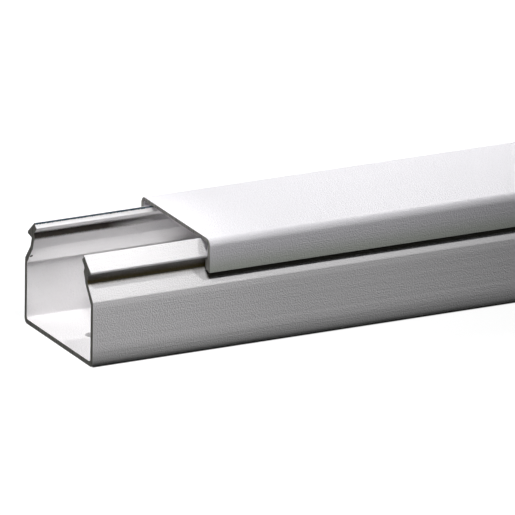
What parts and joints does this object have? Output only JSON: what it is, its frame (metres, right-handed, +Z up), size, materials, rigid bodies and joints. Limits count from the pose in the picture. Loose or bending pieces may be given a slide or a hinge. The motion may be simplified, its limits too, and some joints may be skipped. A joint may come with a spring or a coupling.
{
  "type": "cable trunking",
  "caption": "Rectangular white plastic cable trunking: a U-shaped base channel with clip rails and fixing slots, and a flat clip-on lid slid back from one end.",
  "frame": {"origin": "on the underside, midway across and midway between the base's open end and the lid's far end", "axes": "+X along the length, from the open end towards the end that the lid overhangs; +Y across; +Z up from the underside to the lid"},
  "size_m": [2.0334, 0.04, 0.03],
  "materials": {
    "base_pvc": "extruded white rigid PVC, satin",
    "lid_pvc": "extruded white rigid PVC, satin"
  },
  "bodies": {
    "base": {"base_channel": "base_pvc"},
    "lid": {"clip_lid": "lid_pvc"}
  },
  "joints": [
    {"name": "lid_slide", "type": "slide", "parent": "base", "child": "lid", "axis": [1, 0, 0], "range_m": [-0.0335, 1.8665]}
  ]
}
